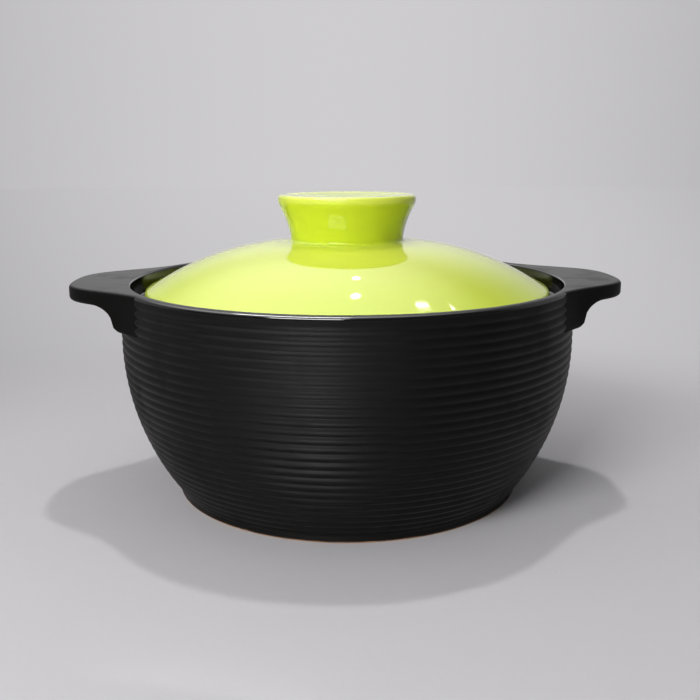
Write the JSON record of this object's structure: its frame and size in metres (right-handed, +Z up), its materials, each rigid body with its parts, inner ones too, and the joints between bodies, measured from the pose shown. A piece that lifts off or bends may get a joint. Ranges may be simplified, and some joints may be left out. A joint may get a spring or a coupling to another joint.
{
  "type": "casserole",
  "caption": "Round ribbed casserole with two flat lug handles and a domed lid with a flared knob that drops into a seat inside the rim.",
  "frame": {"origin": "on the table, at the centre of the foot ring's lower face", "axes": "+Z up along the axis of the bowl and the lid; +X through the middle of the right handle"},
  "size_m": [0.2682, 0.22, 0.144],
  "materials": {
    "black_glaze": "satin black glaze over close horizontal ribs, glossy inside the lip",
    "lime_glaze": "high gloss lime green glaze",
    "bare_clay": "unglazed brown clay, matt"
  },
  "bodies": {
    "pot": {"bowl": "black_glaze", "foot_ring": "bare_clay", "handle_right": "black_glaze", "handle_left": "black_glaze"},
    "lid": {"lid_dome": "lime_glaze", "lid_knob": "lime_glaze"}
  },
  "joints": [
    {"name": "lid_lift", "type": "slide", "parent": "pot", "child": "lid", "axis": [0, 0, 1], "range_m": [0, 0.12]}
  ]
}
